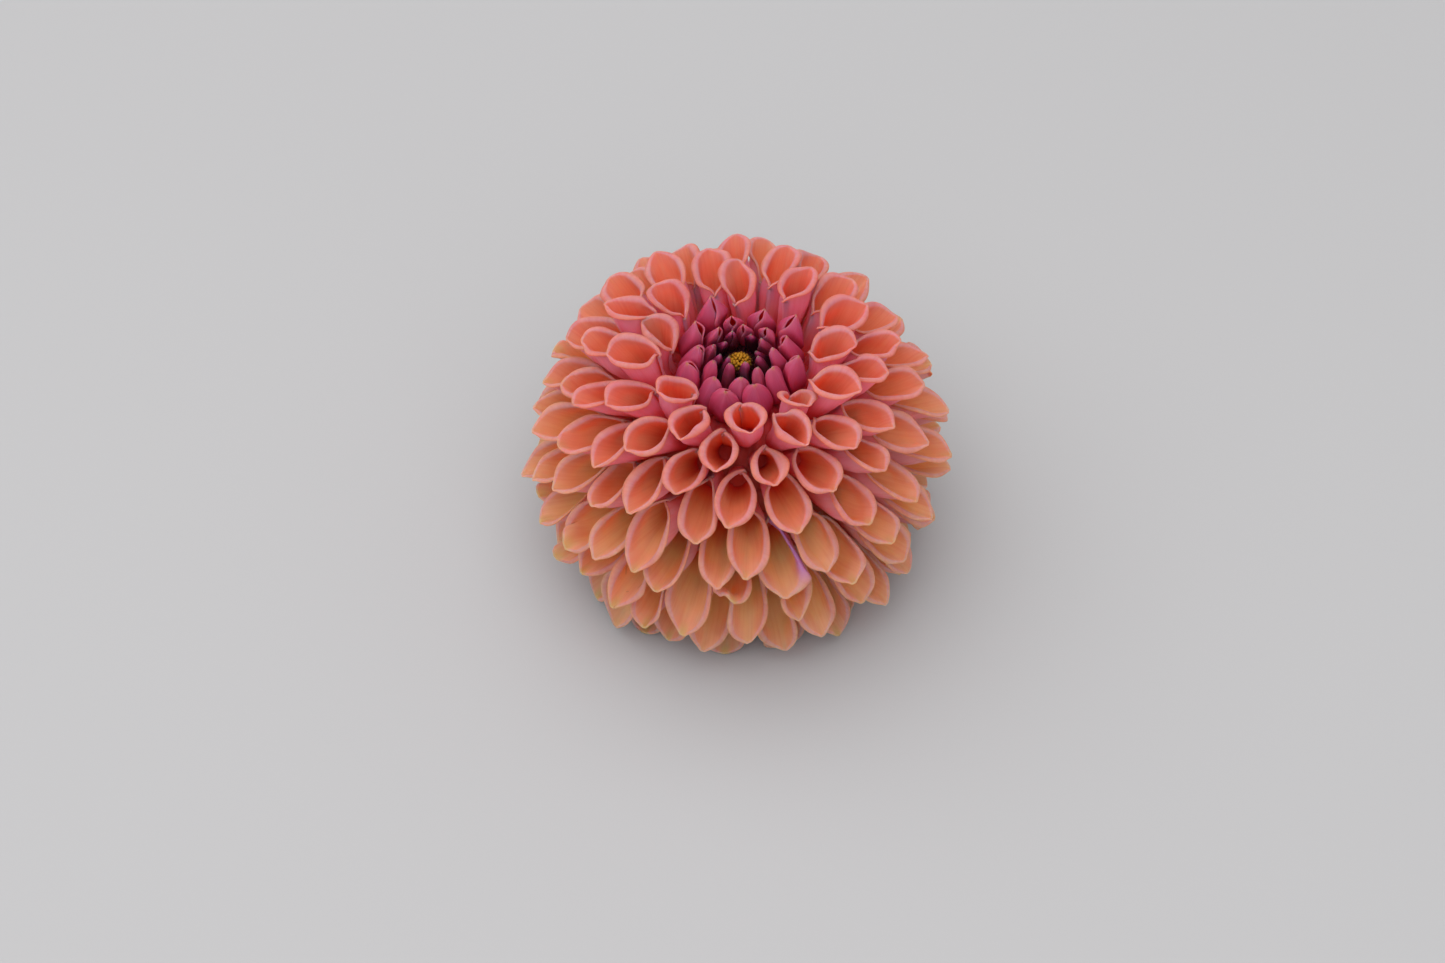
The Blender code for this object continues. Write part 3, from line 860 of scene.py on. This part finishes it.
def petals():
    """The ray florets of the three zones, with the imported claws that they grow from."""
    claw = claw_material()
    outside = petal_material("petal_outside", OUTSIDE_YOUNG, OUTSIDE_OLD)
    inside = petal_material("petal_inside", INSIDE_YOUNG, INSIDE_OLD)
    bud_outside = bud_material("bud_outside", BUD_OUTSIDE)
    # The inside of a bud is painted shade, darker than its outside.
    bud_inside = bud_material("bud_inside", BUD_INSIDE_SHADED)
    found = florets()
    for zone, (start, end) in ZONES.items():
        mine = [floret for floret in found if floret["zone"] == zone]
        base = [claws(start, end)]
        if zone == "outer":
            base.append(underside(end))
        groups = {f"claws_{zone}": (base, (claw, claw))}
        if zone == "inner":
            groups["buds"] = ([bud(f) for f in mine], (bud_outside, bud_inside))
        elif zone == "middle":
            groups["petals_middle"] = ([cup(f) for f in mine], (outside, inside))
        else:
            half = len(mine) // 2
            groups["petals_outer"] = ([cup(f) for f in mine[:half]], (outside, inside))
            groups["petals_lowest"] = ([cup(f) for f in mine[half:]], (outside, inside))
        for name, (shapes, materials) in groups.items():
            piece = grids_piece(name, shapes, PETAL_MARKS, materials)
            thickened(piece, BLADE)
            dress(piece, f"ray_florets_{zone}")


def pressed(height):
    """Bends what would reach below the surface along it."""
    room = PRESSED_BELOW - FLOOR_CLEARANCE
    low = FLOOR_CLEARANCE + room * np.exp(np.minimum(height - PRESSED_BELOW, 0) / room)
    return np.where(height < PRESSED_BELOW, low, height)


def grid_faces(rows, columns, first):
    """The four-sided faces of a grid whose points are numbered from first."""
    index = np.arange(rows * columns).reshape(rows, columns) + first
    corners = index[:-1, :-1], index[1:, :-1], index[1:, 1:], index[:-1, 1:]
    return np.stack(corners, -1).reshape(-1, 4)


def grids_piece(name, shapes, labels, materials):
    """One piece from many grids of points, with the marks that their material reads."""
    points = []
    marks = []
    faces = []
    first = 0
    for grid, mark in shapes:
        rows, columns = grid.shape[:2]
        faces.append(grid_faces(rows, columns, first))
        points.append(grid.reshape(-1, 3))
        marks.append(mark.reshape(-1, len(labels)))
        first += rows * columns
    points = np.concatenate(points)
    points[:, 2] = pressed(points[:, 2])
    mesh = bpy.data.meshes.new(name)
    mesh.from_pydata(points.tolist(), [], np.concatenate(faces).tolist())
    for label, values in zip(labels, np.concatenate(marks).T):
        layer = mesh.attributes.new(label, "FLOAT", "POINT")
        layer.data.foreach_set("value", values.astype(np.float32))
    mesh.shade_smooth()
    for material in materials:
        mesh.materials.append(material)
    return added(name, mesh)


def added(name, data):
    """A new object in the scene."""
    made = bpy.data.objects.new(name, data)
    bpy.context.scene.collection.objects.link(made)
    return made


def thickened(made, thickness):
    """Turns sheets into blades. Their inner face takes the second material."""
    skin = made.modifiers.new("Blade", "SOLIDIFY")
    skin.thickness = thickness
    skin.offset = -1
    skin.material_offset = 1


def dress(piece, node):
    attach(piece, "root")
    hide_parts(node)


class Nodes:
    """A material's node tree, with a short way to add each kind of node that is used here."""

    def __init__(self, name):
        self.material = bpy.data.materials.new(name)
        self.material.use_nodes = True
        self.tree = self.material.node_tree
        self.shader = self.tree.nodes["Principled BSDF"]

    def link(self, value, socket):
        """Links a socket, or sets a number or a colour."""
        if isinstance(value, bpy.types.NodeSocket):
            self.tree.links.new(value, socket)
        elif isinstance(value, tuple):
            socket.default_value = (*value, 1)
        else:
            socket.default_value = value

    def attribute(self, name):
        node = self.tree.nodes.new("ShaderNodeAttribute")
        node.attribute_name = name
        return node.outputs["Fac"]

    def math(self, operation, *values):
        node = self.tree.nodes.new("ShaderNodeMath")
        node.operation = operation
        for value, socket in zip(values, node.inputs):
            self.link(value, socket)
        return node.outputs[0]

    def times(self, first, second):
        return self.math("MULTIPLY", first, second)

    def span(self, value, low, high, start=0.0, end=1.0):
        """A soft step from start to end, as a value goes from low to high."""
        node = self.tree.nodes.new("ShaderNodeMapRange")
        node.interpolation_type = "SMOOTHSTEP"
        for label, number in (("From Min", low), ("From Max", high), ("To Min", start), ("To Max", end)):
            node.inputs[label].default_value = number
        self.link(value, node.inputs["Value"])
        return node.outputs["Result"]

    def ramp(self, factor, stops):
        node = self.tree.nodes.new("ShaderNodeValToRGB")
        elements = node.color_ramp.elements
        while len(elements) < len(stops):
            elements.new(0.5)
        for element, (position, colour) in zip(elements, stops):
            element.position = position
            element.color = (*colour, 1)
        self.link(factor, node.inputs["Fac"])
        return node.outputs["Color"]

    def blend(self, factor, low, high, kind="MIX"):
        node = self.tree.nodes.new("ShaderNodeMix")
        node.data_type = "RGBA"
        node.blend_type = kind
        self.link(factor, node.inputs["Factor"])
        self.link(low, node.inputs[MIX_LOW])
        self.link(high, node.inputs[MIX_HIGH])
        return node.outputs[MIX_RESULT]

    def tint(self, factor, colour, tint):
        return self.blend(factor, colour, tint, "MULTIPLY")

    def noise(self, vector, scale, detail):
        node = self.tree.nodes.new("ShaderNodeTexNoise")
        node.inputs["Scale"].default_value = scale
        node.inputs["Detail"].default_value = detail
        self.link(vector, node.inputs["Vector"])
        return node.outputs["Fac"]

    def grain(self, scale):
        """Noise over the object's own coordinates."""
        place = self.tree.nodes.new("ShaderNodeTexCoord")
        return self.noise(place.outputs["Object"], scale, detail=3.0)

    def streaks(self, across, along, apart, detail):
        """Noise over a blade's marks: how often it changes across, along and from tone to tone."""
        vector = self.tree.nodes.new("ShaderNodeCombineXYZ")
        labels = ("across", "along", "tone")
        for label, often, socket in zip(labels, (across, along, apart), vector.inputs):
            self.link(self.times(self.attribute(label), often), socket)
        return self.noise(vector.outputs[0], 1.0, detail)

    def bump(self, height, strength, distance):
        node = self.tree.nodes.new("ShaderNodeBump")
        node.inputs["Strength"].default_value = strength
        node.inputs["Distance"].default_value = distance
        self.link(height, node.inputs["Height"])
        self.link(node.outputs["Normal"], self.shader.inputs["Normal"])

    def finish(self, colour, roughness, glow, glow_reach):
        """Sets the shader: its colour, its roughness and how much light passes through."""
        self.link(colour, self.shader.inputs["Base Color"])
        self.shader.inputs["Roughness"].default_value = roughness
        self.shader.inputs["Specular IOR Level"].default_value = SHINE
        self.shader.inputs["Subsurface Weight"].default_value = glow
        self.shader.inputs["Subsurface Radius"].default_value = GLOW_RADII
        self.shader.inputs["Subsurface Scale"].default_value = glow_reach
        return self.material


def veined(nodes, colour):
    """Veins, paler patches and a tone of its own for each petal."""
    veins = nodes.streaks(**VEINS)
    patches = nodes.streaks(**PATCHES)
    tone = nodes.attribute("tone")
    nodes.bump(veins, 0.3, 0.0002)
    colour = nodes.tint(nodes.span(veins, 0.35, 0.75, 0.0, 0.5), colour, VEIN_TINT)
    colour = nodes.tint(nodes.span(patches, 0.4, 0.7, 0.0, 0.5), colour, PATCH_TINT)
    return nodes.tint(nodes.span(tone, 0.2, 1.0, 0.0, 0.4), colour, TONE_TINT)


def weathered(nodes, colour):
    """Dry tips on old petals, and brown spots on a few of them."""
    tone = nodes.attribute("tone")
    age = nodes.attribute("age")
    across = nodes.math("ABSOLUTE", nodes.attribute("across"))
    near_tip = nodes.span(nodes.attribute("along"), 0.86, 1.0)
    tip = nodes.times(nodes.span(across, 0.2, 1.6, 1.0, 0.0), near_tip)
    dry = nodes.times(age, nodes.span(tone, 0.2, 0.8, 0.1, 0.7))
    colour = nodes.blend(nodes.times(tip, dry), colour, DRY)
    spotted = nodes.times(nodes.span(tone, 0.90, 0.91), nodes.span(tone, 0.96, 0.97, 1.0, 0.0))
    spots = nodes.span(nodes.streaks(**SPOTS), 0.74, 0.78, 0.0, 0.8)
    return nodes.blend(nodes.times(nodes.times(spots, spotted), age), colour, SPOT)


def petal_material(name, young, old):
    """An open petal's thin blade, that light passes through. Young and old are ramps along it."""
    nodes = Nodes(name)
    along = nodes.attribute("along")
    age = nodes.attribute("age")
    lip = nodes.attribute("lip")
    colour = nodes.blend(age, nodes.ramp(along, young), nodes.ramp(along, old))
    rim = nodes.blend(age, nodes.ramp(lip, RIM_YOUNG), nodes.ramp(lip, RIM_OLD))
    colour = nodes.blend(nodes.span(lip, 0.0, 0.3), colour, rim)
    colour = nodes.blend(nodes.attribute("lilac"), colour, LILAC)
    colour = weathered(nodes, veined(nodes, colour))
    return nodes.finish(colour, **PETAL_SURFACE)


def bud_material(name, colours):
    """A bud's thin blade: painted shade near the eye, paler along its margins."""
    nodes = Nodes(name)
    along = nodes.attribute("along")
    margin = nodes.times(nodes.attribute("lip"), 0.8)
    colour = nodes.blend(margin, nodes.ramp(along, colours), BUD_MARGIN)
    # Painted shade: the inmost buds, near the eye, take the dark ramp.
    lit = nodes.span(nodes.attribute("polar"), 0.09, 0.15)
    colour = nodes.blend(lit, nodes.ramp(along, BUD_PAINTED_SHADE), colour)
    return nodes.finish(veined(nodes, colour), **PETAL_SURFACE)


def claw_material():
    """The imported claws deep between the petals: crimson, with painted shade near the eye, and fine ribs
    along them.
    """
    nodes = Nodes("claws")
    ribs = nodes.grain(900)
    # Near the eye the ramp is painted shade.
    colour = nodes.ramp(nodes.attribute("polar"), CLAW_COLOURS_AND_SHADE)
    colour = nodes.tint(nodes.span(ribs, 0.35, 0.7, 0.0, 0.5), colour, CLAW_TINT)
    nodes.bump(ribs, 0.3, 0.0002)
    return nodes.finish(colour, **CLAW_SURFACE)


def grain_material():
    """Yellow grains, with painted shade towards their feet, on the mound and at the mound's edge."""
    nodes = Nodes("disc_grain")
    # Painted shade towards the grains' feet and on the mound below them.
    colour = nodes.ramp(nodes.span(nodes.attribute("height"), -1.0, 1.0), GRAIN_COLOURS_AND_SHADE)
    colour = nodes.tint(nodes.span(nodes.attribute("tone"), 0.3, 1.0, 0.0, 0.6), colour, GRAIN_TINT)
    # Painted shade round the mound's edge.
    colour = nodes.blend(nodes.span(nodes.attribute("edge"), 0.15, 0.6), colour, DISC_EDGE_SHADE)
    nodes.bump(nodes.grain(4000), 0.3, 0.0001)
    return nodes.finish(colour, **GRAIN_SURFACE)


def mottled(nodes, greens):
    """A green that varies between two, and the grain that it follows."""
    grain_pattern = nodes.grain(700)
    return nodes.blend(nodes.span(grain_pattern, 0.3, 0.7), *greens), grain_pattern


def flesh_material():
    """Pale green flesh."""
    nodes = Nodes("flesh")
    colour, _ = mottled(nodes, FLESH_GREENS)
    return nodes.finish(colour, **GREEN_SURFACE)


def bract_material():
    """A green scale with veins along it and a pale margin."""
    nodes = Nodes("bract")
    colour, _ = mottled(nodes, BRACT_GREENS)
    veins = nodes.streaks(across=9, along=1.5, apart=0, detail=3.0)
    colour = nodes.blend(nodes.span(veins, 0.45, 0.65, 0.0, 0.5), colour, BRACT_GREENS[1])
    across = nodes.math("ABSOLUTE", nodes.attribute("across"))
    colour = nodes.blend(nodes.span(across, 0.75, 1.0, 0.0, 0.7), colour, BRACT_MARGIN)
    nodes.bump(veins, 0.4, 0.0003)
    return nodes.finish(colour, **GREEN_SURFACE)


def stem_material():
    """A green stem with pale rings on its cut end."""
    nodes = Nodes("stem")
    colour, pattern = mottled(nodes, STEM_GREENS)
    rings = nodes.ramp(nodes.attribute("across"), CUT_COLOURS)
    colour = nodes.blend(nodes.attribute("along"), colour, rings)
    nodes.bump(pattern, 0.2, 0.0002)
    return nodes.finish(colour, **GREEN_SURFACE)


def ground():
    """The plain pale floor."""
    half = FLOOR_HALF
    corners = [(-half, -half, 0), (half, -half, 0), (half, half, 0), (-half, half, 0)]
    mesh = bpy.data.meshes.new("floor")
    mesh.from_pydata(corners, [], [(0, 1, 2, 3)])
    material = bpy.data.materials.new("floor")
    material.use_nodes = True
    shader = material.node_tree.nodes["Principled BSDF"]
    shader.inputs["Base Color"].default_value = (*FLOOR_COLOUR, 1)
    shader.inputs["Roughness"].default_value = FLOOR_ROUGHNESS
    mesh.materials.append(material)
    floor = added("floor", mesh)


def lights():
    """Soft light all round, and the two lamps, turned to the head."""
    world = bpy.data.worlds.new("studio")
    world.use_nodes = True
    background = world.node_tree.nodes["Background"]
    background.inputs["Color"].default_value = (*WORLD_COLOUR, 1)
    background.inputs["Strength"].default_value = WORLD_STRENGTH
    bpy.context.scene.world = world
    for values in LAMPS:
        lamp = bpy.data.lights.new(values["name"], "AREA")
        lamp.size = values["size"]
        lamp.energy = values["power"]
        light = added(values["name"], lamp)
        light.location = values["place"]
        way = Vector(CENTRE) - Vector(values["place"])
        light.rotation_euler = way.to_track_quat("-Z", "Y").to_euler()


def camera():
    """Looks at the head from the photograph's height, with the head off centre as there."""
    data = bpy.data.cameras.new("camera")
    data.lens = LENS
    made = added("camera", data)
    back = Vector((0, -math.cos(ELEVATION), math.sin(ELEVATION)))
    up = Vector((0, math.sin(ELEVATION), math.cos(ELEVATION)))
    per_pixel = DISTANCE * data.sensor_width / (LENS * FRAME_WIDTH)
    right_by = (FRAME_WIDTH / 2 - HEAD_PIXEL[0]) * per_pixel
    up_by = (HEAD_PIXEL[1] - FRAME_HEIGHT / 2) * per_pixel
    made.location = Vector(CENTRE) + back * DISTANCE + Vector((right_by, 0, 0)) + up * up_by
    made.rotation_euler = (math.pi / 2 - ELEVATION, 0, 0)
    bpy.context.scene.camera = made


camera()
ground()
lights()
petals()
disc()
receptacle()
bracts()
stem()
bpy.context.scene.view_settings.view_transform = "Standard"
